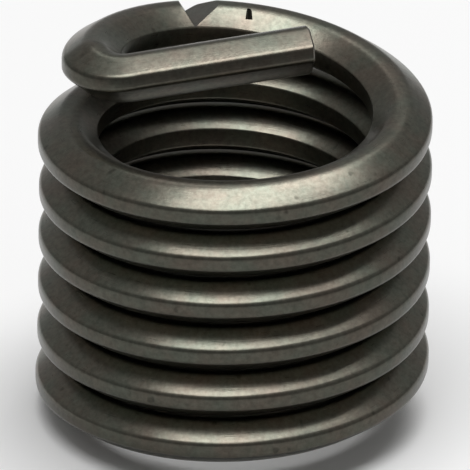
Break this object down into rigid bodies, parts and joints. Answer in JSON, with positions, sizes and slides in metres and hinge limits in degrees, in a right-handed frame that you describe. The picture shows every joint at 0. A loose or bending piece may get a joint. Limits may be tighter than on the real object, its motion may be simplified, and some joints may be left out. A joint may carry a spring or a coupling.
{
  "type": "helical thread insert",
  "caption": "Free-coil helical wire thread insert with a diamond-section wire, a bent driving tang across the bore and a break-off notch.",
  "frame": {"origin": "on the thread axis, at the level of the lowest point of the free coil, which is the end away from the tang", "axes": "+Z along the thread axis towards the tang; the tang's bend is at -X, and the tang points across the bore towards +X; -Y is the front"},
  "size_m": [0.0076, 0.0076, 0.0082],
  "materials": {
    "steel": "satin drawn stainless steel wire, with darker grooves"
  },
  "bodies": {
    "root": {"thread_insert": "steel"}
  },
  "joints": []
}
